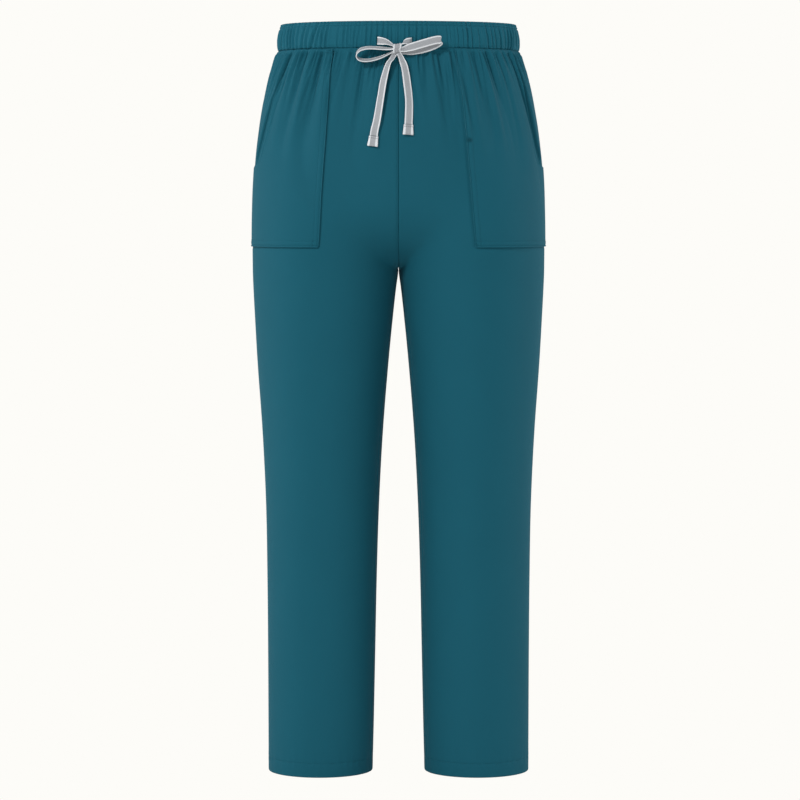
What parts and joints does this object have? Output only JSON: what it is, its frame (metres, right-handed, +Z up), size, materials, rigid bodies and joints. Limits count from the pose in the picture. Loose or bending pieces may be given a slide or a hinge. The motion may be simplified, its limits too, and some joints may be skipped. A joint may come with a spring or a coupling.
{
  "type": "medical scrub trousers",
  "caption": "Worn-form scrub trousers with a gathered elastic waistband, patch pockets with slanted openings and a bow-tied drawstring.",
  "frame": {"origin": "middle of the waist opening, half-way up the waistband, where the wearer's waist holds the trousers", "axes": "+Z up towards the waist opening, -Y towards the front, +X towards the wearer's left"},
  "size_m": [0.4098, 0.2602, 1.046],
  "materials": {
    "scrub_twill": "matt fine twill, teal, soft sheen at grazing angles",
    "gathered_waistband": "the same teal twill, gathered over elastic between rows of stitching",
    "drawstring_tape": "light grey flat woven tape"
  },
  "bodies": {
    "root": {"waistband": "gathered_waistband", "front_left": "scrub_twill", "front_right": "scrub_twill", "back_left": "scrub_twill", "back_right": "scrub_twill", "pocket_left": "scrub_twill", "pocket_right": "scrub_twill", "drawstring_knot": "drawstring_tape", "drawstring_stub_left": "drawstring_tape", "drawstring_stub_right": "drawstring_tape", "drawstring_loop_left": "drawstring_tape", "drawstring_loop_right": "drawstring_tape", "drawstring_tail_left": "drawstring_tape", "drawstring_tail_right": "drawstring_tape", "drawstring_tip_left": "drawstring_tape", "drawstring_tip_right": "drawstring_tape"}
  },
  "joints": []
}
